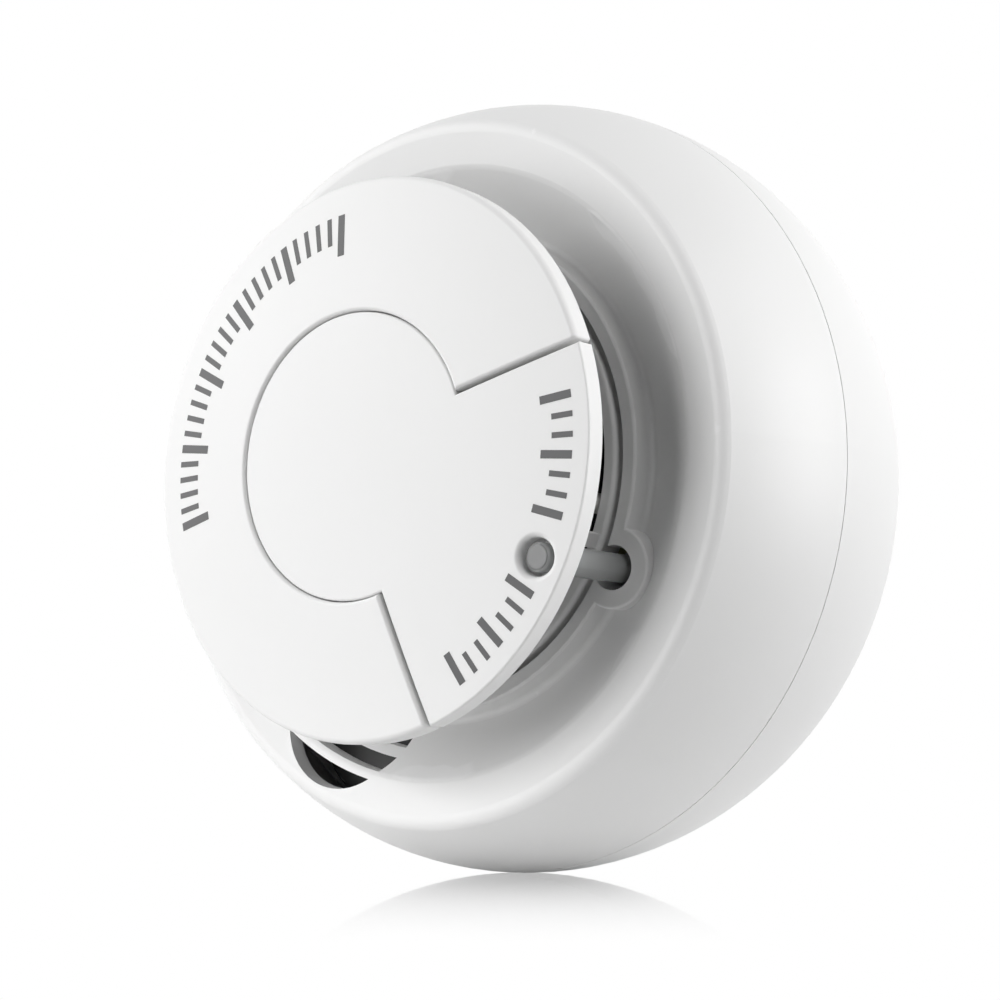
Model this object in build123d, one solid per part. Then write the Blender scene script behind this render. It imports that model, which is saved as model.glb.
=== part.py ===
from build123d import *
import os
from math import cos, radians, sin, sqrt

# Smoke detector with a mushroom head. The axis lies along Y, the face looks to -Y, +Z is up, and the
# origin is the centre of the mounting plate's back face, which rests on the wall. Millimetres.
# Depths named *_at are measured from the plane of the cap's rim back towards the wall.

# ---- overall form ----
rim_to_wall = 53.0        # plane of the cap's rim to the wall
belly_radius = 52.8       # widest part of the barrel
belly_at = 34.4
barrel_curve = 38.8       # radius of the barrel's side profile
rim_at = 12.6             # front edge of the barrel
wall = 2.2                # housing wall
seam_at = 30.8            # parting line between the two housings
seam_gap = 0.2
tongue_length = 2.4       # rear housing's tongue inside the front housing
tongue_thick = 1.4
tongue_clearance = 0.1
wall_clearance = 0.4      # rear housing's rim to the wall
running_clearance = 0.05  # between a sliding pin and its hole
standing_clearance = 0.3  # between pieces that move past each other without touching

# ---- front housing: shoulder, recess and neck ----
break_radius = 40.4       # where the shoulder turns down into the recess
break_at = 14.0
recess_sag = 0.5          # how far the recess bows below a straight cone
neck_bore = 30.1
neck_wall = 1.8
neck_draft = 0.5          # how much wider the neck is at its foot
neck_face_at = 15.5
neck_foot_at = 18.8
neck_back_at = 21.0
rim_round = 1.8
neck_round = 0.35
foot_round = 0.7
back_round = 0.7
collar_radius = 5.1       # round collar beside the neck, round the light guide
pocket_radius = 2.8

# ---- sounder port in the front housing ----
port_radius = 9.8
port_from_axis = 35.0
port_slots = ((41.45, 46.0), (38.05, 40.2), (33.4, 36.65))

# ---- head cap and button ----
cap_radius = 36.0
cap_crown = 2.3           # how far the middle of the cap stands in front of its rim
cap_skin = 1.8
cap_skirt_at = 2.9        # back edge of the cap's rim
cap_wall = 1.4
cap_round = 0.8
key_radius = 18.3         # round middle of the keyhole button
key_half_angle = 41.6     # each straight edge against the button's middle line
key_apex_behind = 1.8     # where the straight edges would meet, behind the axis
key_gap = 0.45            # along the straight edges
key_round_gap = 0.15      # round the middle
key_round = 0.45
button_round = 0.3
button_angle = -27.0      # middle line of the button, from +X towards +Z
button_drop = 0.35        # button face below the cap face
button_skin = 1.6
button_wall_at = 2.9
press_travel = 1.0

# ---- button's stem, sleeve, spring and push rod ----
stem_radius = 4.0
stem_bore = 2.7
stem_end_at = 6.6
sleeve_end_at = 8.0       # floor of the sleeve that the button's stem runs in
sleeve_wall = 1.4
spring_wire = 0.4
spring_radius = 2.2
spring_turns = 5
rod_radius = 1.3
rod_angle = -14.0
rod_collar = 1.9
rod_socket = 1.3          # how deep the push rod sits in the button

# ---- indicator: light guide over a small lamp ----
guide_angle = -27.2
guide_radius = 1.8
guide_round = 0.45
guide_tip_at = 0.2
guide_foot = 2.5          # radius of the foot that stands over the lamp
guide_foot_at = 20.0
lamp_size = (2.0, 1.25, 0.8)
lamp_room = 0.4           # clear space round the lamp under the guide's foot
window_radius = 2.3       # hole in the button over the guide's tip
window_round = 0.7

# ---- neck cage: inner ring, pillars and the plate that carries the cap ----
cage_gap = 1.0            # between the cage's ring and the neck
cage_thick = 1.8
cage_round = 0.7
pillar_first = -23.2      # the pillar beside the light guide
pillar_count = 5
pillar_width = 1.8
pillar_inset = 0.6
support_inset = 3.6       # support plate's edge inside the cap's rim
support_at = 4.2
support_thick = 1.4
snap_angles = (20, 150, 285)
snap_span = 10
snap_thick = 1.3

# ---- smoke chamber ----
screen_skin = 0.4
screen_slots = 36
screen_gap = 0.4          # between the screen and the labyrinth inside it
chamber_top_at = 9.4
chamber_lid = 1.4
chamber_floor = 3.0
vane_count = 18
vane_thick = 1.0
emitter_angle = 90
receiver_angle = 225
optic_radius = 2.5
optic_length = 7.6
optic_from_rim = 5.4      # chamber's edge to the near end of each optic

# ---- circuit board and what stands on it ----
board_from_neck = 2.4     # neck's back to the board
board_thick = 1.6
switch_size = 4.5
switch_height = 3.5
switch_cap_radius = 1.3
switch_cap_height = 0.9
switch_cap_clearance = 0.1
lead_size = 0.5
lead_pitch = 2.54
lead_clearance = 0.15
capacitor_places = ((-24, -14), (-17, 24), (-30, 2))
capacitor_radius = 2.6
chip_places = ((-8, 10, 9), (12, -16, 7), (6, 22, 5))
chip_height = 1.6
resistor_angles = (52, 66, 96, 110, 172, 188)
resistor_from_axis = 36.0

# ---- sounder ----
sounder_radius = 10.0
sounder_from_axis = 36.5
sounder_angle = -115.0
sounder_from_neck = 0.4
sounder_lid_thick = 1.4
diaphragm_radius = 8.6
diaphragm_thick = 0.3
piezo_radius = 6.0
sound_hole = 2.5

# ---- bosses and screws ----
boss_radius = 3.2
boss_from_axis = 43.3
boss_angles = (60, 180, 300)
housing_screw = 1.45
housing_screw_length = 9.0
standoff_radius = 2.8
standoff_from_axis = 35.0
standoff_angles = (20, 150, 285)
board_screw = 1.2
board_screw_length = 6.0  # or shorter, where the standoff is

# ---- battery bay ----
floor_thick = 2.0
battery_length, battery_width, battery_thick = 46.4, 26.5, 17.5
battery_clearance = 0.3
battery_play = 0.4        # battery to the mounting plate
terminal_height = 2.1
terminal_spacing = 12.7
terminal_radii = (2.8, 3.9)
contact_thick = 0.4
contact_width = 5.0
bay_wall = 1.6

# ---- mounting plate and twist lock ----
plate_thick = 2.4
plate_gap = 2.25          # between the plate and the rear housing's rim
plate_pocket = 1.0
hook_angles = (90, 210, 330)
hook_span = 12
hook_thick = 2.1
hook_inset = 1.2          # hook's outer face inside the plate's edge
lug_reach = 2.1           # how far each lug stands out from its hook
lug_thick = 1.8
ledge_thick = 1.8
ledge_from_plate = 2.0
twist = 15                # degrees from locked to released
slot_spacing = 60.0       # fixing slots along X and fixing holes along Z
slot_length = 8.0
fixing_radius = 2.2


# ---- shapes shared by the pieces ----
def depth(distance):
    """The y of a plane that lies this far behind the cap's front face."""
    return distance - rim_to_wall


def barrel(distance, inset=0.0):
    """Radius of the barrel's side profile at a depth, or of the face that lies inset below it."""
    return belly_radius - barrel_curve + sqrt((barrel_curve - inset) ** 2 - (distance - belly_at) ** 2)


def barrel_arc(start_at, end_at, inset=0.0):
    """The barrel's profile between two depths, as an arc in the plane of (radius, y)."""
    stations = (start_at, (start_at + end_at) / 2, end_at)
    return ThreePointArc(*[(barrel(at, inset), depth(at)) for at in stations])


def turned(*edges):
    """A solid of revolution about the axis from a closed outline of (radius, y)."""
    return revolve(make_face(Curve() + list(edges)), Axis.Y, 360)


def ring(front_at, back_at, outer, inner=0.0, middle=None, span=360):
    """A disc or ring between two depths, or the stretch of it that spans an angle about middle."""
    low, high = depth(front_at), depth(back_at)
    outline = make_face(Polyline((inner, low), (outer, low), (outer, high), (inner, high), close=True))
    body = revolve(outline, Axis.Y, span)
    return body if middle is None else turn(middle + span / 2) * body


def turn(angle):
    """Turns a piece about the axis, from +X towards +Z."""
    return Rot(0, -angle, 0)


def rod(from_axis, angle, radius, front_at, back_at):
    """A round bar along the axis's direction, at a distance and an angle from it."""
    middle = depth((front_at + back_at) / 2)
    return turn(angle) * Pos(from_axis, middle, 0) * Rot(90, 0, 0) * Cylinder(radius, back_at - front_at)


def bar(x, z, width, height, front_at, back_at):
    """A block centred on x and z, between two depths."""
    return Pos(x, depth((front_at + back_at) / 2), z) * Box(width, back_at - front_at, height)


def prism(face, front_at, back_at):
    """A flat outline, drawn as seen from the front, made solid between two depths."""
    return Pos(0, depth(back_at), 0) * Rot(90, 0, 0) * extrude(face, back_at - front_at)


def circles(body, radius, distance):
    """The round edges of a body that lie about the axis at this radius and depth."""
    return [
        edge for edge in body.edges().filter_by(GeomType.CIRCLE)
        if abs(edge.radius - radius) < 0.01 and abs(edge.arc_center.Y - depth(distance)) < 0.01
    ]


def spread(maker, angles):
    """The same feature at several angles about the axis, as one shape."""
    shapes = [turn(angle) * maker for angle in angles]
    return shapes[0] if len(shapes) == 1 else shapes[0].fuse(*shapes[1:])


def separate(maker, angles):
    """The same piece at several angles, as separate solids of one node."""
    return Compound(children=[turn(angle) * maker for angle in angles])


def keyhole(grow=0.0, grow_round=0.0):
    """The button's outline: a round middle joined to a sector that runs out to the cap's rim."""
    reach = 2 * cap_radius
    half = radians(key_half_angle)
    apex = -key_apex_behind - grow / sin(half)
    far = (apex + reach * cos(half), reach * sin(half))
    sector = make_face(Polyline((apex, 0), (far[0], -far[1]), far, close=True)) & Circle(cap_radius)
    return Rot(0, 0, button_angle) * (Circle(key_radius + grow_round) + sector)


def crowned(drop, back_at):
    """A disc as wide as the cap whose front is the cap's crowned face, set back by drop."""
    apex, rim = (0, depth(drop - cap_crown)), (cap_radius, depth(drop))
    half_way = (cap_radius / 2, depth(drop - crown_at(cap_radius / 2)))
    return turned(
        ThreePointArc(apex, half_way, rim),
        Line(rim, (cap_radius, depth(back_at))),
        Line((cap_radius, depth(back_at)), (0, depth(back_at))),
        Line((0, depth(back_at)), apex),
    )


def crown_at(from_axis):
    """How far the crowned face stands in front of its rim at a distance from the axis."""
    sphere = (cap_radius ** 2 + cap_crown ** 2) / (2 * cap_crown)
    return sqrt(sphere ** 2 - from_axis ** 2) - (sphere - cap_crown)


# ---- places worked out from the sizes above ----
neck_radius = neck_bore + neck_wall
foot_radius = neck_radius + neck_draft
cage_outer = neck_bore - cage_gap
cage_inner = cage_outer - cage_thick
support_radius = cap_radius - support_inset
support_back_at = support_at + support_thick
guide_from_axis = neck_radius

board_at = neck_back_at + board_from_neck
board_back_at = board_at + board_thick
board_radius = boss_from_axis - boss_radius - running_clearance
switch_top_at = board_at - switch_height
cage_back_at = switch_top_at - standing_clearance

spring_top_at = button_drop - cap_crown + button_skin + 0.4
rod_from_axis = cage_inner - standing_clearance - rod_radius
rod_front_at = button_wall_at - rod_socket
rod_end_at = switch_top_at - switch_cap_height - switch_cap_clearance

screen_radius = rod_from_axis - switch_size / 2 - standing_clearance
chamber_radius = screen_radius - screen_skin - screen_gap
chamber_floor_at = board_at - chamber_floor
vane_top_at = chamber_top_at + chamber_lid
optic_at = (vane_top_at + chamber_floor_at) / 2
optic_inner = chamber_radius - optic_from_rim - optic_length
lead_from_axis = optic_inner + optic_length + 0.4

plate_front_at = rim_to_wall - plate_thick
back_at = rim_to_wall - wall_clearance
plate_radius = barrel(back_at, wall) - plate_gap
battery_at = plate_front_at - battery_play - battery_thick
floor_back_at = battery_at - battery_clearance
floor_at = floor_back_at - floor_thick

ledge_back_at = plate_front_at - ledge_from_plate
ledge_at = ledge_back_at - ledge_thick
hook_outer = plate_radius - hook_inset
hook_inner = hook_outer - hook_thick
lug_outer = hook_outer + lug_reach
lug_back_at = ledge_at - standing_clearance
ledge_inner = hook_outer + 0.5

sounder_front_at = neck_back_at + sounder_from_neck
diaphragm_at = (sounder_front_at + floor_at) / 2

contact_room = terminal_height + contact_thick
battery_middle = -contact_room / 2
battery_end = battery_middle + battery_length / 2


# ---- front housing: barrel shoulder, recess, neck and sounder port in one moulding ----
def front_housing():
    edge_at = seam_at - seam_gap / 2
    inner_rim_at = rim_at + wall + 0.4
    recess_middle = ((break_radius + foot_radius) / 2, depth((break_at + neck_foot_at) / 2 + recess_sag))
    recess_inside = (recess_middle[0], recess_middle[1] + wall)
    shell = turned(
        barrel_arc(rim_at, edge_at),
        Line((barrel(edge_at), depth(edge_at)), (barrel(edge_at, wall), depth(edge_at))),
        barrel_arc(edge_at, inner_rim_at, wall),
        Line((barrel(inner_rim_at, wall), depth(inner_rim_at)), (break_radius, depth(break_at + wall))),
        ThreePointArc((break_radius, depth(break_at + wall)), recess_inside,
                      (foot_radius, depth(neck_back_at))),
        Line((foot_radius, depth(neck_back_at)), (neck_bore, depth(neck_back_at))),
        Line((neck_bore, depth(neck_back_at)), (neck_bore, depth(neck_face_at))),
        Line((neck_bore, depth(neck_face_at)), (neck_radius, depth(neck_face_at))),
        Line((neck_radius, depth(neck_face_at)), (foot_radius, depth(neck_foot_at))),
        ThreePointArc((foot_radius, depth(neck_foot_at)), recess_middle, (break_radius, depth(break_at))),
        Line((break_radius, depth(break_at)), (barrel(rim_at), depth(rim_at))),
    )
    shell = fillet(circles(shell, barrel(rim_at), rim_at), rim_round)
    shell = fillet(circles(shell, neck_radius, neck_face_at), neck_round)
    shell = fillet(circles(shell, foot_radius, neck_foot_at), foot_round)
    shell = fillet(circles(shell, break_radius, break_at), rim_round)

    collar = rod(guide_from_axis, guide_angle, collar_radius, neck_face_at, neck_back_at)
    collar = fillet(collar.edges().filter_by(GeomType.CIRCLE).sort_by(Axis.Y)[0], neck_round)
    collar -= ring(neck_face_at - 1, neck_back_at + 1, neck_bore)
    shell += collar
    shell -= rod(guide_from_axis, guide_angle, pocket_radius, neck_face_at - 1, neck_back_at + 1)

    bosses = spread(rod(boss_from_axis, 0, boss_radius, break_at + wall / 2, floor_at), boss_angles)
    bosses &= turned(
        barrel_arc(rim_at + wall / 2, floor_at + 1, wall / 2),
        Line((barrel(floor_at + 1, wall / 2), depth(floor_at + 1)), (0, depth(floor_at + 1))),
        Line((0, depth(floor_at + 1)), (0, depth(rim_at + wall / 2))),
        Line((0, depth(rim_at + wall / 2)), (barrel(rim_at + wall / 2, wall / 2), depth(rim_at + wall / 2))),
    )
    shell += bosses
    pilot = rod(boss_from_axis, 0, housing_screw + running_clearance,
                floor_at - housing_screw_length, floor_at + 1)
    shell -= spread(pilot, boss_angles)
    return shell - port_openings()


def port_openings():
    """Arc-shaped slots about the detector's axis, kept inside a round outline."""
    window = rod(port_from_axis, sounder_angle, port_radius, rim_at - 2, neck_back_at + 2)
    slots = [ring(rim_at - 2, neck_back_at + 2, outer, inner) for inner, outer in port_slots]
    return window & slots[0].fuse(*slots[1:])


# ---- rear housing: barrel, floor, battery bay and bayonet ledge ----
def rear_housing():
    edge_at = seam_at + seam_gap / 2
    shell = turned(
        barrel_arc(edge_at, back_at),
        Line((barrel(back_at), depth(back_at)), (barrel(back_at, wall), depth(back_at))),
        barrel_arc(back_at, edge_at, wall),
        Line((barrel(edge_at, wall), depth(edge_at)), (barrel(edge_at), depth(edge_at))),
    )
    shell = fillet(circles(shell, barrel(back_at), back_at), back_round)

    tongue_at = seam_at - tongue_length
    tongue = barrel(tongue_at, wall) - tongue_clearance
    shell += ring(tongue_at, edge_at + 1, tongue, tongue - tongue_thick)
    shell += ring(edge_at, edge_at + wall, barrel(edge_at, wall) + wall / 2, tongue - tongue_thick)
    shell += ring(floor_at, floor_back_at, min(tongue, barrel(floor_at, wall) - tongue_clearance))

    ledge = ring(ledge_at, ledge_back_at, barrel(ledge_back_at, wall) + 0.3, ledge_inner)
    notch = ring(ledge_at - 1, ledge_back_at + 1, lug_outer + 0.8, ledge_inner - 1, 0, hook_span + 3)
    ledge -= spread(notch, [angle - twist for angle in hook_angles])
    stop = ring(ledge_at - 2, ledge_at, barrel(ledge_at, wall) + 0.3, ledge_inner, hook_span / 2 + 2.6, 4)
    shell += ledge + spread(stop, hook_angles)

    length = battery_length + contact_room + 2 * battery_clearance
    width = battery_width + 2 * battery_clearance
    bay_back_at = plate_front_at - battery_play
    bay = bar(0, 0, length + 2 * bay_wall, width + 2 * bay_wall, floor_at + 1, bay_back_at)
    bay -= bar(0, 0, length, width, floor_back_at, bay_back_at + 1)
    shell += bay - bar(0, 0, length * 0.35, width * 2, battery_at + battery_thick / 2, bay_back_at + 1)

    standoff = rod(standoff_from_axis, 0, standoff_radius, board_back_at, floor_at + 1)
    shell += spread(standoff, standoff_angles)
    pilot = rod(standoff_from_axis, 0, board_screw + running_clearance, board_back_at - 1, floor_at + 1)
    shell -= spread(pilot, standoff_angles)
    hole = rod(boss_from_axis, 0, housing_screw + 0.15, floor_at - 3, floor_back_at + 1)
    shell -= spread(hole, boss_angles)
    return shell - contact_strips(standing_clearance)


# ---- mounting plate: screwed to the wall, carries the detector on three hooks ----
def mounting_plate():
    plate = ring(plate_front_at, rim_to_wall, plate_radius)
    plate = fillet(circles(plate, plate_radius, plate_front_at), 0.5)
    inner_pocket = ring(rim_to_wall - plate_pocket, rim_to_wall + 1, 25, 13, 0, 34)
    plate -= spread(inner_pocket, range(45, 406, 90))
    outer_pocket = ring(rim_to_wall - plate_pocket, rim_to_wall + 1,
                        plate_radius - 3, plate_radius - 7, 0, 34)
    plate -= spread(outer_pocket, range(15, 376, 60))
    slot = SlotOverall(slot_length, 2 * fixing_radius)
    for side in (-1, 1):
        plate -= prism(Pos(side * slot_spacing / 2, 0) * slot, plate_front_at - 1, rim_to_wall + 1)
        plate -= rod(side * slot_spacing / 2, 90, fixing_radius, plate_front_at - 1, rim_to_wall + 1)
    lug_front_at = lug_back_at - lug_thick
    post = ring(lug_front_at, plate_front_at + 0.5, hook_outer, hook_inner, 0, hook_span)
    lug = ring(lug_front_at, lug_back_at, lug_outer, hook_outer - 0.5, 0, hook_span)
    return plate + spread(post + lug, hook_angles)


# ---- neck cage: ring inside the neck, pillars, support plate with the button's guide ----
def neck_cage():
    cage = ring(neck_face_at, cage_back_at, cage_outer, cage_inner)
    cage = fillet(circles(cage, cage_outer, neck_face_at), cage_round)
    pillar_outer = cage_outer - pillar_inset
    pillar = bar((cage_inner + pillar_outer) / 2, 0, pillar_outer - cage_inner, pillar_width,
                 support_back_at - 0.5, neck_face_at + 1)
    pitch = 360 / pillar_count
    cage += spread(pillar, [pillar_first + step * pitch for step in range(pillar_count)])
    cage += ring(support_at, support_back_at, support_radius)
    catch_back_at = neck_back_at + 0.1 + snap_thick
    leg = ring(cage_back_at - 1, catch_back_at, cage_outer - 0.1, cage_inner + 0.3, 0, snap_span)
    catch = ring(neck_back_at + 0.1, catch_back_at, neck_bore + 1.1, cage_outer - 0.5, 0, snap_span)
    cage += spread(leg + catch, snap_angles)
    cage += ring(support_at, sleeve_end_at + sleeve_wall, stem_radius + running_clearance + sleeve_wall)
    cage -= ring(support_at - 1, sleeve_end_at, stem_radius + running_clearance)
    cage -= rod(rod_from_axis, rod_angle, rod_radius + running_clearance,
                support_at - 1, support_back_at + 1)
    return cage - rod(guide_from_axis, guide_angle, pocket_radius, support_at - 1, cage_back_at + 1)


def front_edges(body, within):
    """Edges of the crowned face nearer the axis than the radius given, without the face's seam."""
    face = body.faces().filter_by(GeomType.SPHERE).sort_by(Axis.Y)[0]
    outline = [edge for edge in face.edges() if min(off_axis(edge @ 0), off_axis(edge @ 1)) > 1]
    return [edge for edge in outline if off_axis(edge @ 0.5) < within]


def off_axis(point):
    return sqrt(point.X ** 2 + point.Z ** 2)


# ---- cap ring: three quarters of the cap's face, around the button ----
def cap_ring():
    cap = crowned(0, support_at)
    cap = fillet(circles(cap, cap_radius, 0), cap_round)
    cap -= prism(keyhole(key_gap, key_round_gap), -cap_crown - 1, support_at + 1)
    cap = fillet(front_edges(cap, cap_radius - 2 * cap_round), key_round)
    kept = keyhole(key_gap + cap_wall, key_round_gap + cap_wall)
    hollow = prism(Circle(cap_radius - cap_wall) - kept, -cap_crown, support_at + 1)
    cap -= hollow & crowned(cap_skin, support_at + 1)
    return cap - ring(cap_skirt_at, support_at + 1, cap_radius + 1, support_radius)


# ---- test button: keyhole plate with a guide stem, a socket for the push rod and a window ----
def test_button():
    underside_at = button_drop + button_skin
    disc = crowned(button_drop, button_wall_at)
    button = disc & prism(keyhole(), -cap_crown - 1, button_wall_at + 1)
    button = fillet(front_edges(button, cap_radius + 1), button_round)
    inside = keyhole(-cap_wall, -cap_wall) & Circle(cap_radius - cap_wall)
    inside = prism(inside, -cap_crown, button_wall_at + 1)
    button -= inside & crowned(underside_at, button_wall_at + 1)
    button += ring(button_drop - cap_crown + button_skin / 2, stem_end_at, stem_radius)
    button -= ring(spring_top_at, stem_end_at + 1, stem_bore)
    button += rod(rod_from_axis, rod_angle, rod_radius + 1, 0.5, button_wall_at)
    button -= rod(rod_from_axis, rod_angle, rod_radius + running_clearance,
                  rod_front_at - running_clearance, button_wall_at + 1)
    face_at = button_drop - crown_at(guide_from_axis)
    button -= rod(guide_from_axis, guide_angle, window_radius, face_at - 1, button_wall_at + 1)
    middle = (turn(guide_angle) * Pos(guide_from_axis, 0, 0)).position
    lip = [
        edge for edge in button.edges()
        if max(abs(off_axis(edge @ part - middle) - window_radius) for part in (0, 0.3, 0.7)) < 0.01
        and max((edge @ part).Y for part in (0, 0.5, 1)) < depth(face_at + button_skin / 2)
    ]
    return fillet(lip, window_round)


def push_rod():
    """Carries the button's press to the switch; its collar stops the button lifting out."""
    body = rod(rod_from_axis, rod_angle, rod_radius, rod_front_at, rod_end_at)
    collar_at = support_back_at + standing_clearance
    return body + rod(rod_from_axis, rod_angle, rod_collar, collar_at, collar_at + 0.8)


def return_spring():
    """Compression spring between the sleeve's floor and the inside of the button's stem."""
    free_height = sleeve_end_at - spring_top_at - spring_wire - 0.1
    coil = Helix(free_height / spring_turns, free_height, spring_radius)
    start = coil @ 0
    section = Plane(origin=start, z_dir=coil % 0) * Circle(spring_wire / 2)
    wire = sweep(section, path=coil, is_frenet=True)
    return Pos(0, depth(sleeve_end_at - spring_wire / 2 - 0.05), 0) * Rot(90, 0, 0) * wire


# ---- indicator: a small lamp on the board under a clear light guide ----
def light_guide():
    guide = rod(guide_from_axis, guide_angle, guide_radius, guide_tip_at, board_at)
    guide = fillet(guide.edges().filter_by(GeomType.CIRCLE).sort_by(Axis.Y)[0], guide_round)
    guide += rod(guide_from_axis, guide_angle, guide_foot, guide_foot_at, board_at)
    length, width, height = lamp_size
    room = bar(guide_from_axis, 0, length + 2 * lamp_room, width + 2 * lamp_room,
               board_at - height - lamp_room, board_at + 1)
    return guide - turn(guide_angle) * room


def status_lamp():
    length, width, height = lamp_size
    return turn(guide_angle) * bar(guide_from_axis, 0, length, width, board_at - height, board_at)


# ---- smoke chamber: black labyrinth under an insect screen, with a lamp and a receiver ----
def chamber_base():
    base = ring(chamber_floor_at, board_at, chamber_radius)
    pitch = 360 / vane_count
    optics = (emitter_angle, receiver_angle)
    free = [
        step * pitch for step in range(vane_count)
        if all(abs((step * pitch - angle + 180) % 360 - 180) > 15 for angle in optics)
    ]
    base += spread(vane(), free)
    middle = optic_inner + optic_length / 2
    cradle = bar(middle, 0, optic_length - 1, 2 * optic_radius + 2.4, optic_at, chamber_floor_at + 0.5)
    cradle -= Pos(middle, depth(optic_at), 0) * Rot(0, 90, 0) * Cylinder(
        optic_radius + running_clearance, optic_length + 2)
    base += spread(cradle, (emitter_angle, receiver_angle))
    return base - lead_holes()


def vane():
    """One bent vane: a radial blade with a short arm that stops stray light."""
    blade = bar(chamber_radius - 2.4, 0, 3.6, vane_thick, vane_top_at, chamber_floor_at + 0.5)
    arm = bar(chamber_radius - 3.8, 1.3, vane_thick, 3.4, vane_top_at, chamber_floor_at + 0.5)
    return blade + arm


def chamber_cover():
    radius = screen_radius - screen_skin - running_clearance
    cover = ring(chamber_top_at, vane_top_at, radius)
    return fillet(circles(cover, radius, chamber_top_at), 0.5)


def insect_screen():
    screen = ring(support_back_at + 0.1, chamber_floor_at, screen_radius, screen_radius - screen_skin)
    upper = bar(screen_radius, 0, 4, 3.0, support_back_at + 1.2, chamber_top_at - 0.4)
    lower = bar(screen_radius, 0, 4, 3.0, vane_top_at + 0.4, chamber_floor_at - 1.0)
    pitch = 360 / screen_slots
    return screen - [turn(step * pitch) * slot for step in range(screen_slots) for slot in (upper, lower)]


def optic(angle):
    """A five millimetre round optic lying in its cradle, with two leads bent down to the board."""
    middle = optic_inner + optic_length / 2
    body = Pos(middle, depth(optic_at), 0) * Rot(0, 90, 0) * Cylinder(optic_radius, optic_length)
    body = fillet(body.edges().filter_by(GeomType.CIRCLE).sort_by(Axis.X)[0], optic_radius - 0.1)
    half = lead_size / 2
    for side in (-1, 1):
        z = side * lead_pitch / 2
        body += bar(lead_from_axis - 0.3, z, 1.1, lead_size, optic_at - half, optic_at + half)
        body += bar(lead_from_axis, z, lead_size, lead_size, optic_at, board_back_at + 0.6)
    return turn(angle) * body


def lead_holes():
    """Square holes for the leads of both optics, through the chamber's floor and the board."""
    size = lead_size + 2 * lead_clearance
    hole = bar(lead_from_axis, lead_pitch / 2, size, size, optic_at, board_back_at + 1)
    hole += bar(lead_from_axis, -lead_pitch / 2, size, size, optic_at, board_back_at + 1)
    return spread(hole, (emitter_angle, receiver_angle))


# ---- circuit board with its parts ----
def circuit_board():
    board = ring(board_at, board_back_at, board_radius)
    cut_out = sounder_radius + standing_clearance
    board -= rod(sounder_from_axis, sounder_angle, cut_out, board_at - 1, board_back_at + 1)
    hole = rod(standoff_from_axis, 0, board_screw + 0.2, board_at - 1, board_back_at + 1)
    return board - spread(hole, standoff_angles) - lead_holes()


def switch_body():
    middle = bar(rod_from_axis, 0, switch_size, switch_size, switch_top_at, board_at)
    shaft_hole = rod(rod_from_axis, 0, switch_cap_radius + running_clearance, switch_top_at - 1,
                     switch_top_at + 2 * press_travel)
    return turn(rod_angle) * (middle - shaft_hole)


def switch_plunger():
    return rod(rod_from_axis, rod_angle, switch_cap_radius, switch_top_at - switch_cap_height,
               switch_top_at + 0.9 * press_travel)


def control_chips():
    back = board_back_at + chip_height
    chips = [bar(x, z, size, size, board_back_at, back) for x, z, size in chip_places]
    return Compound(children=[fillet(chip.edges(), 0.15) for chip in chips])


def capacitors():
    end_at = floor_at - 0.2
    cans = []
    for x, z in capacitor_places:
        can = Pos(x, depth((board_back_at + end_at) / 2), z) * Rot(90, 0, 0) * Cylinder(
            capacitor_radius, end_at - board_back_at)
        cans.append(fillet(can.edges().filter_by(GeomType.CIRCLE), 0.3))
    return Compound(children=cans)


def resistors():
    return separate(bar(resistor_from_axis, 0, 2.0, 1.25, board_at - 0.55, board_at), resistor_angles)


# ---- sounder: resonating case, lid and diaphragm, set through the board's cut-out ----
def place_sounder(piece):
    return turn(sounder_angle) * Pos(sounder_from_axis, 0, 0) * piece


def sounder_case():
    case = ring(sounder_front_at, floor_at, sounder_radius)
    case = fillet(circles(case, sounder_radius, sounder_front_at), 0.6)
    case -= ring(sounder_front_at + 1.2, floor_at + 1, diaphragm_radius - 1.0)
    case -= ring(diaphragm_at, floor_at + 1, diaphragm_radius + running_clearance)
    case -= ring(sounder_front_at - 1, sounder_front_at + 2, sound_hole)
    return place_sounder(case)


def sounder_lid():
    return place_sounder(ring(floor_at - sounder_lid_thick, floor_at, diaphragm_radius))


def diaphragm():
    return place_sounder(ring(diaphragm_at, diaphragm_at + diaphragm_thick, diaphragm_radius))


def piezo_element():
    front_at = diaphragm_at + diaphragm_thick
    return place_sounder(ring(front_at, front_at + diaphragm_thick, piezo_radius))


# ---- battery and its contacts ----
def battery_case():
    case = bar(battery_middle, 0, battery_length, battery_width, battery_at, battery_at + battery_thick)
    return fillet(case.edges().filter_by(Axis.X), 2.0)


def battery_terminals():
    studs = []
    for side, radius in zip((-1, 1), terminal_radii):
        stud = Pos(battery_end + terminal_height / 2, depth(battery_at + battery_thick / 2),
                   side * terminal_spacing / 2) * Rot(0, 90, 0) * Cylinder(radius, terminal_height)
        studs.append(fillet(stud.edges().filter_by(GeomType.CIRCLE).sort_by(Axis.X)[-1], 0.4))
    return Compound(children=studs)


def contact_strips(grow=0.0):
    """Two flat springs from the board, through the floor, to the battery's terminals."""
    x = battery_end + terminal_height + contact_thick / 2
    thick, width = contact_thick + 2 * grow, contact_width + 2 * grow
    end_at = battery_at + battery_thick / 2 + 3
    strips = [bar(x, side * terminal_spacing / 2, thick, width, board_back_at, end_at) for side in (-1, 1)]
    return Compound(children=strips)


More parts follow.
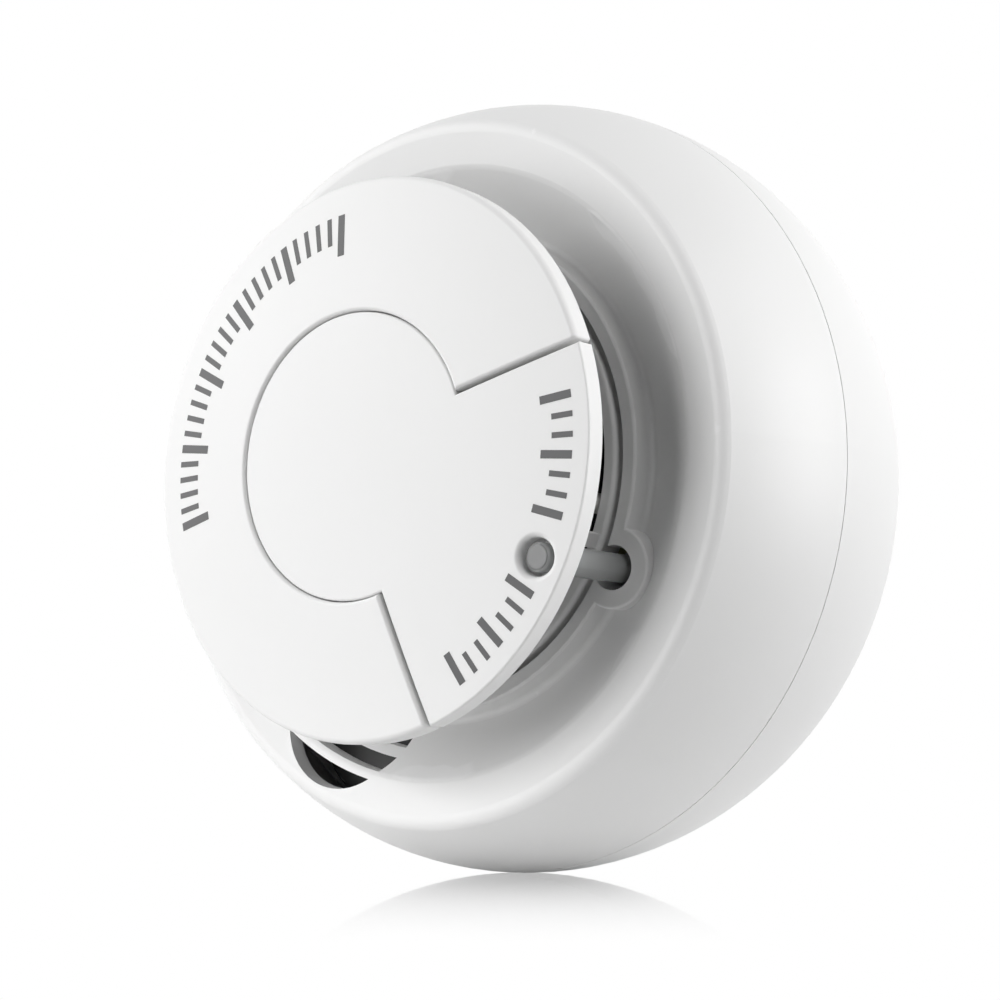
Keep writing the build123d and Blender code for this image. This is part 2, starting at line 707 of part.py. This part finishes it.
# ---- screws ----
def screw(shank, length, head, head_height, from_axis, seat_at, towards_front):
    """A pan-head screw; its head lies on the seat and its shank runs the other way."""
    way = -1 if towards_front else 1
    ends = sorted((seat_at, seat_at - way * head_height))
    body = rod(from_axis, 0, head, *ends)
    body = fillet(body.edges().filter_by(GeomType.CIRCLE).sort_by(Axis.Y)[-1 if towards_front else 0], 0.5)
    body += rod(from_axis, 0, shank, *sorted((seat_at, seat_at + way * length)))
    top = seat_at - way * head_height
    for width, height in ((0.7, 2.6), (2.6, 0.7)):
        body -= bar(from_axis, 0, width, height, top - 0.8, top + 0.8)
    return body


def housing_screws():
    single = screw(housing_screw, housing_screw_length, 2.8, 1.8, boss_from_axis, floor_back_at, True)
    return separate(single, boss_angles)


def board_screws():
    length = min(board_screw_length, floor_at - board_at)
    single = screw(board_screw, length, 2.3, 1.5, standoff_from_axis, board_at, False)
    return separate(single, standoff_angles)


pieces = {
    "mounting_plate": mounting_plate(),
    "rear_housing": rear_housing(),
    "front_housing": front_housing(),
    "housing_screws": housing_screws(),
    "neck_cage": neck_cage(),
    "cap_ring": cap_ring(),
    "test_button": test_button(),
    "push_rod": push_rod(),
    "return_spring": return_spring(),
    "light_guide": light_guide(),
    "status_lamp": status_lamp(),
    "insect_screen": insect_screen(),
    "chamber_cover": chamber_cover(),
    "chamber_base": chamber_base(),
    "infrared_emitter": optic(emitter_angle),
    "light_receiver": optic(receiver_angle),
    "circuit_board": circuit_board(),
    "board_screws": board_screws(),
    "switch_body": switch_body(),
    "switch_plunger": switch_plunger(),
    "control_chips": control_chips(),
    "capacitors": capacitors(),
    "resistors": resistors(),
    "sounder_case": sounder_case(),
    "sounder_lid": sounder_lid(),
    "diaphragm": diaphragm(),
    "piezo_element": piezo_element(),
    "battery_case": battery_case(),
    "battery_terminals": battery_terminals(),
    "battery_contacts": contact_strips(),
}

os.makedirs("parts", exist_ok=True)
for name, piece in pieces.items():
    export_step(piece, f"parts/{name}.step")
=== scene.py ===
import math

import bmesh
import bpy
from mathutils import Matrix, Vector


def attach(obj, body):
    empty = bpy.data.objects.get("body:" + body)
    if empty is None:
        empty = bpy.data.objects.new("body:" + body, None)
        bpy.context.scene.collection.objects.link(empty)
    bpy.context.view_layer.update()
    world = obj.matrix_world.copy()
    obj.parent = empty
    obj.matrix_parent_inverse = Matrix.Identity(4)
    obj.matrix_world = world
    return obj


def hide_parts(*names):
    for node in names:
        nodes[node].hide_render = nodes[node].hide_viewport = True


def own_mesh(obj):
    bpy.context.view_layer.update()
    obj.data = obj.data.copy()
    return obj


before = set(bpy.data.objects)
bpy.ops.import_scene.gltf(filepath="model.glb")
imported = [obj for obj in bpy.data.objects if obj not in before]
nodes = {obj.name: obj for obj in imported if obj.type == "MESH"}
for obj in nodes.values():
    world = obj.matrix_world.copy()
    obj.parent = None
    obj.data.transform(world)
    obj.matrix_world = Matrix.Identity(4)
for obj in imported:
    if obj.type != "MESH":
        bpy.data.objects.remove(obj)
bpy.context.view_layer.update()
mm = 0.001
rim_to_wall = 53.0  # depths are counted from the plane of the cap's rim, towards the wall
belly_radius = 52.8


# ---- Mounting plate ----
# The plate is moulded in white ABS with a fine spark-eroded grain. Two screws hold
# it to the wall, and its three hooks carry the detector.
def new_group(name, inputs, outputs):
    """A node group with named float, colour or vector sockets."""
    tree = bpy.data.node_groups.new(name, "ShaderNodeTree")
    for socket, kind, value in inputs:
        made = tree.interface.new_socket(socket, in_out="INPUT", socket_type="NodeSocket" + kind)
        made.default_value = value
    for socket, kind in outputs:
        tree.interface.new_socket(socket, in_out="OUTPUT", socket_type="NodeSocket" + kind)
    return tree, tree.nodes.new("NodeGroupInput"), tree.nodes.new("NodeGroupOutput")


def add(tree, kind, **sockets):
    """Adds a node; a socket's name says its value, and a lower-case name says a setting."""
    node = tree.nodes.new("ShaderNode" + kind)
    for name, value in sockets.items():
        if name[0].islower():
            setattr(node, name, value)
        else:
            node.inputs[name.replace("_", " ")].default_value = value
    return node


def make_moulded_grain():
    """Spark-eroded grain that also varies the roughness, and a slow, slight change of tone."""
    tree, given, out = new_group("moulded_grain", [
        ("Grain Pitch", "Float", 3000.0), ("Base", "Color", (0.8, 0.8, 0.8, 1)),
        ("Far Tone", "Color", (0.78, 0.78, 0.77, 1)), ("Roughness", "Float", 0.5)],
        [("Color", "Color"), ("Roughness", "Float"), ("Height", "Float")])
    place = add(tree, "TexCoord")
    grain = add(tree, "TexNoise", Detail=3.0, Roughness=0.6)
    slow = add(tree, "TexNoise", Scale=38.0, Detail=2.0)
    link = tree.links.new
    link(place.outputs["Object"], grain.inputs["Vector"])
    link(place.outputs["Object"], slow.inputs["Vector"])
    link(given.outputs["Grain Pitch"], grain.inputs["Scale"])
    mix = add(tree, "Mix", data_type="RGBA")
    link(slow.outputs["Fac"], mix.inputs["Factor"])
    link(given.outputs["Base"], mix.inputs["A"])
    link(given.outputs["Far Tone"], mix.inputs["B"])
    link(mix.outputs["Result"], out.inputs["Color"])
    spread = add(tree, "MapRange")
    spread.inputs["To Min"].default_value = -0.04
    spread.inputs["To Max"].default_value = 0.04
    link(grain.outputs["Fac"], spread.inputs["Value"])
    total = add(tree, "Math", operation="ADD")
    link(given.outputs["Roughness"], total.inputs[0])
    link(spread.outputs["Result"], total.inputs[1])
    link(total.outputs["Value"], out.inputs["Roughness"])
    link(grain.outputs["Fac"], out.inputs["Height"])
    return tree


def make_edge_polish():
    """A mask that is 1 where a corner stands proud: worn bare on some finishes, a painted highlight on the
    white casing.
    """
    tree, given, out = new_group("edge_wear_and_highlight", [("Reach", "Float", 0.56)], [("Mask", "Float")])
    shape = add(tree, "NewGeometry")
    spread = add(tree, "MapRange")
    spread.inputs["From Max"].default_value = 0.62
    tree.links.new(given.outputs["Reach"], spread.inputs["From Min"])
    tree.links.new(shape.outputs["Pointiness"], spread.inputs["Value"])
    tree.links.new(spread.outputs["Result"], out.inputs["Mask"])
    return tree


moulded_grain = make_moulded_grain()
edge_wear_and_highlight = make_edge_polish()


def material(name, color, roughness, far_tone=None, pitch=3000.0, depth=0.02, edge=None, **sockets):
    """A moulded or rolled finish whose grain, tone and roughness vary. Proud edges take the edge colour."""
    made = bpy.data.materials.new(name)
    made.use_nodes = True
    tree = made.node_tree
    shader = tree.nodes["Principled BSDF"]
    for socket, value in sockets.items():
        shader.inputs[socket.replace("_", " ")].default_value = value
    grain = add(tree, "Group", node_tree=moulded_grain)
    grain.inputs["Grain Pitch"].default_value = pitch
    grain.inputs["Base"].default_value = (*color, 1)
    grain.inputs["Far Tone"].default_value = (*(far_tone or [0.96 * c for c in color]), 1)
    grain.inputs["Roughness"].default_value = roughness
    link = tree.links.new
    if edge:
        # The mask gives proud edges the edge colour: bare or worn edges on some finishes, a painted highlight
        # on the white casing.
        polish_and_sheen = add(tree, "Group", node_tree=edge_wear_and_highlight)
        mix = add(tree, "Mix", data_type="RGBA")
        mix.inputs["B"].default_value = (*edge, 1)
        link(polish_and_sheen.outputs["Mask"], mix.inputs["Factor"])
        link(grain.outputs["Color"], mix.inputs["A"])
        link(mix.outputs["Result"], shader.inputs["Base Color"])
    else:
        link(grain.outputs["Color"], shader.inputs["Base Color"])
    link(grain.outputs["Roughness"], shader.inputs["Roughness"])
    bump = add(tree, "Bump", Strength=0.35, Distance=depth * mm)
    link(grain.outputs["Height"], bump.inputs["Height"])
    link(bump.outputs["Normal"], shader.inputs["Normal"])
    return made


def finish(node, made):
    """Gives a CAD node its finish."""
    nodes[node].data.materials.clear()
    nodes[node].data.materials.append(made)


# Its proud edges are painted paler: a painted highlight on the rounded corners.
white_abs = material("white_abs", (0.83, 0.83, 0.83), 0.42, (0.81, 0.81, 0.805), 3200.0, 0.012,
                     edge=(0.87, 0.87, 0.87), Specular_IOR_Level=0.4)
finish("mounting_plate", white_abs)


# ---- Rear housing ----
# The same white ABS as the plate. It holds the battery bay and turns on the plate's
# hooks, and the front housing's rim meets it at the parting line.
finish("rear_housing", white_abs)

# ---- Battery and its contacts ----
# A closed nine-volt block in a plain metal jacket, with two snap terminals at one end
# that touch two sprung nickel strips.
battery_jacket = material("battery_jacket", (0.10, 0.115, 0.14), 0.34, (0.08, 0.09, 0.115), 900.0, 0.01,
                          edge=(0.35, 0.36, 0.38), Metallic=0.85)
nickel = material("nickel_plate", (0.66, 0.63, 0.58), 0.22, (0.58, 0.56, 0.52), 1400.0, 0.004, Metallic=1.0)
finish("battery_case", battery_jacket)
finish("battery_terminals", nickel)
finish("battery_contacts", nickel)

# ---- Circuit board and the parts on its back ----
# Glass epoxy with green solder mask, held by three screws. Chips, cans and resistors
# are soldered to it.
board_green = material("green_board", (0.012, 0.10, 0.035), 0.3, (0.02, 0.15, 0.05), 260.0, 0.01,
                       edge=(0.30, 0.27, 0.12), Coat_Weight=0.4, Coat_Roughness=0.2)
black_epoxy = material("black_epoxy", (0.02, 0.02, 0.021), 0.5, (0.03, 0.03, 0.03), 2600.0, 0.01)
aluminium_can = material("aluminium_can", (0.62, 0.62, 0.64), 0.3, (0.55, 0.55, 0.57), 1800.0, 0.004,
                         Metallic=1.0)
zinc_steel = material("zinc_steel", (0.55, 0.56, 0.57), 0.3, (0.5, 0.5, 0.48), 1500.0, 0.006, Metallic=1.0)
finish("circuit_board", board_green)


def at(from_axis, angle, depth):
    """A point that far from the detector's axis, at that angle and depth, in metres."""
    turn = math.radians(angle)
    return Vector((from_axis * math.cos(turn), depth - rim_to_wall, from_axis * math.sin(turn))) * mm


def mesh_piece(name, mesh, made, body="head"):
    """Turns a bmesh into a named, smooth-shaded piece that rides on a body."""
    bmesh.ops.remove_doubles(mesh, verts=mesh.verts, dist=1e-7)
    bmesh.ops.recalc_face_normals(mesh, faces=mesh.faces)
    data = bpy.data.meshes.new(name)
    mesh.to_mesh(data)
    mesh.free()
    data.materials.append(made)
    data.shade_smooth()
    piece = bpy.data.objects.new(name, data)
    bpy.context.scene.collection.objects.link(piece)
    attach(piece, body)
    return piece


def skin(mesh, rows, hollow=False):
    """Joins loops of points into one surface. A hollow one ends where it began, others are capped."""
    loops = [[mesh.verts.new(point) for point in row] for row in rows]
    for near, far in zip(loops, loops[1:] + (loops[:1] if hollow else [])):
        for side in range(len(near)):
            after = (side + 1) % len(near)
            mesh.faces.new((near[side], near[after], far[after], far[side]))
    if not hollow:
        mesh.faces.new(loops[0])
        mesh.faces.new(loops[-1])


def circle(centre, radius, depth, steps):
    """Points on a circle round the line through the centre, that deep behind it."""
    turns = [2 * math.pi * step / steps for step in range(steps)]
    return [centre + Vector((radius * math.cos(a), depth, radius * math.sin(a))) * mm for a in turns]


def spin(mesh, profile, centre, steps=24, hollow=False):
    """Turns a profile of (radius, depth) pairs about a line through the centre, along the axis."""
    skin(mesh, [circle(centre, radius, depth, steps) for radius, depth in profile], hollow)


# Solder stands in a small cone round every lead on the board's back. Both optics have two
# leads, and the switch and the lamp have their own.
solder_tin = material("solder_tin", (0.62, 0.62, 0.63), 0.25, (0.5, 0.5, 0.51), 900.0, 0.01, Metallic=1.0)
board_back = 25.0
optic_leads_at, lead_from_middle = 17.8, 1.27
lead_cone = [(1.0, 0.0), (0.8, 0.12), (0.5, 0.45), (0.4, 0.9), (0.25, 1.0)]
pin_cone = [(0.9, 0.0), (0.7, 0.15), (0.45, 0.5), (0.2, 0.6)]
joints = bmesh.new()
for optic_angle in (90, 225):
    for side in (-1, 1):
        reach = math.hypot(optic_leads_at, lead_from_middle)
        slant = math.degrees(math.atan2(side * lead_from_middle, optic_leads_at))
        spin(joints, lead_cone, at(reach, optic_angle + slant, board_back))
for x, z in ((24.9, -6.35), (24.9, 6.35), (24.4, -3.4), (26.2, -3.4), (24.4, -8.9), (26.2, -8.9)):
    angle = math.degrees(math.atan2(z, x))
    spin(joints, pin_cone, at(math.hypot(x, z), angle, board_back))
mesh_piece("solder_joints", joints, solder_tin)
finish("control_chips", black_epoxy)
finish("capacitors", aluminium_can)
finish("resistors", black_epoxy)
finish("board_screws", zinc_steel)

# ---- Tact switch and status lamp ----
# A black nylon tact switch with a white plunger stands under the push rod, and the lamp
# stands under the light guide.
black_nylon = material("black_nylon", (0.022, 0.022, 0.022), 0.45, (0.03, 0.03, 0.03), 2000.0, 0.01)
white_acetal = material("white_acetal", (0.78, 0.78, 0.76), 0.3, (0.74, 0.74, 0.71), 1600.0, 0.004)
lamp_lens = material("lamp_lens", (0.75, 0.72, 0.55), 0.2, (0.7, 0.6, 0.3), 2400.0, 0.004,
                     Transmission_Weight=0.4)
finish("switch_body", black_nylon)
finish("switch_plunger", white_acetal)
finish("status_lamp", lamp_lens)

# ---- Sounder ----
# A brass diaphragm with a fired ceramic disc on it closes a black nylon resonator, whose
# hole faces the port in the front housing.
brass_sheet = material("brass_sheet", (0.60, 0.42, 0.16), 0.3, (0.5, 0.34, 0.12), 1200.0, 0.004, Metallic=1.0)
fired_ceramic = material("fired_ceramic", (0.75, 0.74, 0.70), 0.6, (0.7, 0.68, 0.62), 2600.0, 0.02)
finish("sounder_case", black_nylon)
finish("sounder_lid", black_nylon)
finish("diaphragm", brass_sheet)
finish("piezo_element", fired_ceramic)

# ---- Smoke chamber ----
# Matt black labyrinth on the board, with an infrared emitter and a receiver that don't
# face each other. A cover closes it and a fine screen keeps insects out.
black_abs = material("black_abs", (0.012, 0.012, 0.012), 0.7, (0.018, 0.018, 0.018), 2200.0, 0.02)
black_mesh = material("black_mesh", (0.015, 0.015, 0.015), 0.55, (0.025, 0.025, 0.025), 4000.0, 0.01)
blue_lens = material("blue_lens", (0.10, 0.13, 0.33), 0.12, (0.12, 0.16, 0.38), 800.0, 0.002,
                     Transmission_Weight=0.5)
dark_lens = material("dark_lens", (0.015, 0.01, 0.014), 0.1, (0.02, 0.012, 0.02), 800.0, 0.002)
finish("chamber_base", black_abs)
finish("chamber_cover", black_abs)
finish("infrared_emitter", blue_lens)
finish("light_receiver", dark_lens)

# The screen is woven from fine black wire, 0.8 mm between wires, with a band at each end.
screen_radius, screen_front, screen_back = 23.25, 5.75, 20.3
screen_wires, screen_rings, half_wire, weave = 180, 17, 0.07, 0.035
band_inner, band_outer, band_width = 23.05, 23.55, 0.6
screen_angles = [360 * step / screen_wires for step in range(screen_wires)]
screen_depth = screen_back - screen_front
half_turn = math.degrees(half_wire / screen_radius)
square = ((-1, -1), (1, -1), (1, 1), (-1, 1))
screen = bmesh.new()
for step, angle in enumerate(screen_angles):
    over = weave if step % 2 else -weave
    rows = []
    for row in range(2 * screen_rings + 1):
        depth = screen_front + screen_depth * row / (2 * screen_rings)
        bow = screen_radius + over * math.cos(math.pi * row / 2)
        rows.append([at(bow + far * half_wire, angle + turn * half_turn, depth) for far, turn in square])
    skin(screen, rows)
for row in range(1, screen_rings):
    depth = screen_front + screen_depth * row / screen_rings
    corners = [(screen_radius + far * half_wire, depth + drop * half_wire) for far, drop in square]
    skin(screen, [[at(radius, angle, deep) for radius, deep in corners] for angle in screen_angles],
         hollow=True)
for front in (screen_front, screen_back - band_width):
    back = front + band_width
    band = ((band_inner, front), (band_outer, front), (band_outer, back), (band_inner, back))
    skin(screen, [[at(radius, angle, depth) for angle in screen_angles] for radius, depth in band],
         hollow=True)
woven_screen = mesh_piece("woven_screen", screen, black_mesh)
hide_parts("insect_screen")

# ---- Front housing ----
# The white shell with the rounded shoulder, the dished recess and the neck, held to the
# rear housing by three screws in its bosses.
finish("front_housing", white_abs)

# The rear housing's tongue shows as a shallow pale line in the parting gap.
tongue_inner, tongue_outer, tongue_front, tongue_back = 51.5, 52.54, 30.71, 30.89
tongue_shape = [(tongue_inner, tongue_front), (tongue_outer, tongue_front),
                (tongue_outer, tongue_back), (tongue_inner, tongue_back)]
tongue = bmesh.new()
spin(tongue, tongue_shape, at(0, 0, 0), 240, hollow=True)
seam_tongue = mesh_piece("seam_tongue", tongue, white_abs)
seam_tongue.data.shade_flat()
finish("housing_screws", zinc_steel)

# ---- Neck cage ----
# A white ring with pillars, snapped into the neck. It carries the cap and lets smoke in
# between the pillars.
finish("neck_cage", white_abs)

# ---- Return spring, push rod and test button ----
# The button slides in the cage's sleeve on a steel spring and pushes the rod down
# to the switch.
spring_steel = material("spring_steel", (0.42, 0.42, 0.43), 0.28, (0.36, 0.36, 0.37), 1500.0, 0.004,
                        Metallic=1.0)
finish("push_rod", white_acetal)

# The spring is wound from 0.4 mm wire, and the coil at each end lies closed.
spring_radius, half_gauge, coils, closed_coils = 2.2, 0.2, 6.5, 0.75
spring_front, spring_back, button_travel = 0.13, 7.95, 1.0
closed_pitch = 2.1 * half_gauge
coil_steps, wire_sides = 28, 10
spring_length = spring_back - spring_front
open_length = spring_length - 2 * half_gauge - 2 * closed_coils * closed_pitch


def wire_loop(turned):
    """The wire's section after so many turns of the coil, counted from the button."""
    closed = min(turned, closed_coils) + max(0.0, turned - (coils - closed_coils))
    opened = (turned - closed) / (coils - 2 * closed_coils)
    depth = spring_front + half_gauge + closed * closed_pitch + opened * open_length
    around = [2 * math.pi * side / wire_sides for side in range(wire_sides)]
    return [at(spring_radius + half_gauge * math.cos(a), 360 * turned, depth + half_gauge * math.sin(a))
            for a in around]


spring = bmesh.new()
skin(spring, [wire_loop(step / coil_steps) for step in range(int(coils * coil_steps) + 1)])
coil_spring = mesh_piece("coil_spring", spring, spring_steel)
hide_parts("return_spring")
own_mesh(coil_spring)

# The button and the cap ring share one crown, which is part of a ball. The button stands a
# little behind it.
cap_crown, cap_reach, button_drop = 2.3, 36.0, 0.35
crown_ball = (cap_reach ** 2 + cap_crown ** 2) / (2 * cap_crown)
on_the_ball, facing_out = 0.004, 0.97
# Its white is the casing's, without the painted highlight on proud edges.
white_face = material("white_face", (0.83, 0.83, 0.83), 0.42, (0.81, 0.81, 0.805), 3200.0, 0.012,
                      Specular_IOR_Level=0.4)


def crowned_piece(name, node, body, drop):
    """The moulding with its crowned face polished: that face takes the shading of its true ball."""
    data = nodes[node].data.copy()
    piece = bpy.data.objects.new(name, data)
    bpy.context.scene.collection.objects.link(piece)
    piece.matrix_world = nodes[node].matrix_world.copy()
    middle = piece.matrix_world.inverted() @ at(0, 0, crown_ball - cap_crown + drop)
    shading = [corner.vector.copy() for corner in data.corner_normals]
    for face in data.polygons:
        for corner in face.loop_indices:
            way = data.vertices[data.loops[corner].vertex_index].co - middle
            off_ball = abs(way.length - crown_ball * mm)
            if off_ball < on_the_ball * mm and face.normal.dot(way.normalized()) > facing_out:
                shading[corner] = way.normalized()
    data.normals_split_custom_set(shading)
    data.materials.clear()
    data.materials.append(white_face)
    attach(piece, body)
    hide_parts(node)


crowned_piece("button_moulding", "test_button", "button", button_drop)

# ---- Cap ring ----
# The crowned face round the button, snapped on the cage's support plate. It doesn't move
# when the button is pressed.
crowned_piece("cap_moulding", "cap_ring", "head", 0.0)

# ---- Printed marks ----
# Plain grey ticks, pad-printed on the crowned face: a long scale on the cap ring and two
# short ones on the button, above and below its window.
mark_grey = material("mark_grey", (0.055, 0.055, 0.057), 0.55, (0.07, 0.07, 0.072), 2600.0, 0.006)


def face_depth(from_axis):
    """Depth of the crowned face that far from the axis."""
    return crown_ball - math.sqrt(crown_ball ** 2 - from_axis ** 2) - cap_crown


film, bite, tick_parts = 0.03, 0.02, 4


def tick(mesh, angle, inner, outer, width, drop):
    """One printed tick: a thin film that follows the crown."""
    rows = []
    for part in range(tick_parts + 1):
        from_axis = inner + (outer - inner) * part / tick_parts
        half = math.degrees(width / 2 / from_axis)
        face = face_depth(from_axis) + drop
        rows.append([at(from_axis, angle - half, face - film), at(from_axis, angle + half, face - film),
                     at(from_axis, angle + half, face + bite), at(from_axis, angle - half, face + bite)])
    skin(mesh, rows)


ring_start, ring_pitch, ring_ticks, ring_outer = 94.5, 3.9, 26, 31.8
ring_marks = bmesh.new()
for step in range(ring_ticks):
    inner, width = (26.2, 1.1) if step % 5 == 0 else (28.0, 0.75)
    tick(ring_marks, ring_start + ring_pitch * step, inner, ring_outer, width, 0.0)
mesh_piece("ring_marks", ring_marks, mark_grey).data.shade_flat()
button_pitch, button_ticks, button_outer = 4.1, 7, 33.8
button_marks = bmesh.new()
for first in (-59.0, -17.5):
    for step in range(button_ticks):
        inner, width = (29.6, 1.0) if step % 3 == 0 else (31.0, 0.7)
        tick(button_marks, first + button_pitch * step, inner, button_outer, width, button_drop)
mesh_piece("button_marks", button_marks, mark_grey, "button").data.shade_flat()

# ---- Light guide ----
# Clear acrylic rod from the lamp on the board to the window in the button. It stands
# still while the button moves round its tip.
clear_acrylic = material("clear_acrylic", (0.46, 0.47, 0.47), 0.18, (0.42, 0.43, 0.43), 900.0, 0.004,
                         Transmission_Weight=0.35, IOR=1.49)
# Its flat tip is painted darker than the sides: painted shade standing in for the dark board seen down the
# rod.
tree = clear_acrylic.node_tree
color_in = tree.nodes["Principled BSDF"].inputs["Base Color"]
sides = color_in.links[0].from_socket
place = add(tree, "TexCoord")
split = add(tree, "SeparateXYZ")
along = add(tree, "MapRange")
tip_front, tip_back = 0.22, 0.30
along.inputs["From Min"].default_value = (tip_front - rim_to_wall) * mm
along.inputs["From Max"].default_value = (tip_back - rim_to_wall) * mm
tip = add(tree, "Mix", data_type="RGBA")
tip.inputs["A"].default_value = (0.085, 0.087, 0.088, 1)
tree.links.new(place.outputs["Object"], split.inputs["Vector"])
tree.links.new(split.outputs["Y"], along.inputs["Value"])
tree.links.new(along.outputs["Result"], tip.inputs["Factor"])
tree.links.new(sides, tip.inputs["B"])
tree.links.new(tip.outputs["Result"], color_in)
finish("light_guide", clear_acrylic)

# ---- Studio ----
# A pale polished floor that the detector stands on, a white surround that shows in
# polished surfaces, and eight soft boxes: five in front to the left, three to the right.
floor_height, floor_half = -belly_radius * mm, 9
floor_corners = [(x * floor_half, y * floor_half, floor_height) for x, y in square]
floor_mesh = bpy.data.meshes.new("studio_floor")
floor_mesh.from_pydata(floor_corners, [], [(0, 1, 2, 3)])
floor = bpy.data.objects.new("studio_floor", floor_mesh)
bpy.context.scene.collection.objects.link(floor)
pale_floor = bpy.data.materials.new("pale_floor")
pale_floor.use_nodes = True
tree = pale_floor.node_tree
tree.nodes.remove(tree.nodes["Principled BSDF"])
pale = add(tree, "BsdfTransparent")
polish_and_sheen = add(tree, "BsdfGlossy", Roughness=0.03, Color=(1, 1, 1, 1))
place = add(tree, "TexCoord")
middle = add(tree, "VectorMath", operation="DISTANCE")
middle.inputs[1].default_value = (0, -22 * mm, floor_height)
# The reflection is strongest where the barrel rests, and has faded out 118 mm from there.
fade = add(tree, "MapRange", interpolation_type="SMOOTHSTEP")
for socket, value in (("From Min", 15 * mm), ("From Max", 118 * mm), ("To Min", 0.62), ("To Max", 0.0)):
    fade.inputs[socket].default_value = value
both = add(tree, "MixShader")
tree.links.new(place.outputs["Object"], middle.inputs[0])
tree.links.new(middle.outputs["Value"], fade.inputs["Value"])
tree.links.new(fade.outputs["Result"], both.inputs["Fac"])
tree.links.new(pale.outputs["BSDF"], both.inputs[1])
tree.links.new(polish_and_sheen.outputs["BSDF"], both.inputs[2])
tree.links.new(both.outputs["Shader"], tree.nodes["Material Output"].inputs["Surface"])
floor_mesh.materials.append(pale_floor)

world = bpy.context.scene.world or bpy.data.worlds.new("studio")
bpy.context.scene.world = world
world.use_nodes = True
world.node_tree.nodes["Background"].inputs["Color"].default_value = (1, 1, 1, 1)
world.node_tree.nodes["Background"].inputs["Strength"].default_value = 1.0
world.cycles_visibility.diffuse = False


box_distance, box_width = 0.8, 0.5


def soft_box(name, azimuth, elevation, power):
    """A square soft box; azimuth 0 is in front of the detector and 90 is to its right."""
    lamp = bpy.data.lights.new(name, "AREA")
    lamp.shape = "SQUARE"
    lamp.size = box_width
    lamp.energy = power
    made = bpy.data.objects.new(name, lamp)
    bpy.context.scene.collection.objects.link(made)
    turn, rise = math.radians(azimuth), math.radians(elevation)
    way = Vector((math.sin(turn) * math.cos(rise), -math.cos(turn) * math.cos(rise), math.sin(rise)))
    made.location = Vector((0, -25 * mm, 0)) + box_distance * way
    made.rotation_euler = (-way).to_track_quat("-Z", "Y").to_euler()


left_boxes = [(-20, 8, 3.1), (-50, 35, 1.93), (-50, 8, 1.46), (-80, 8, 0.72), (-30, -25, 1.08)]
right_boxes = [(110, 8, 4.4), (110, 35, 1.29), (75, 35, 2.04)]
for number, (azimuth, elevation, power) in enumerate(left_boxes + right_boxes):
    soft_box(f"soft_box_{number + 1}", azimuth, elevation, power)

# The camera has a 72 mm lens and stands a little above the floor.
lens = bpy.data.cameras.new("camera")
lens.lens = 72
lens.sensor_width = 36
lens.clip_start = 0.01
lens.clip_end = 50
camera = bpy.data.objects.new("camera", lens)
bpy.context.scene.collection.objects.link(camera)
side, up, back = (0.78285, 0.62221, 0), (0.08532, -0.10735, 0.99055), (0.61633, -0.77545, -0.13713)
camera.matrix_world = Matrix.Translation((0.16901, -0.23656, -0.03994)) @ Matrix(
    (side, up, back)).transposed().to_4x4()
bpy.context.scene.camera = camera
bpy.context.scene.view_settings.view_transform = "Standard"
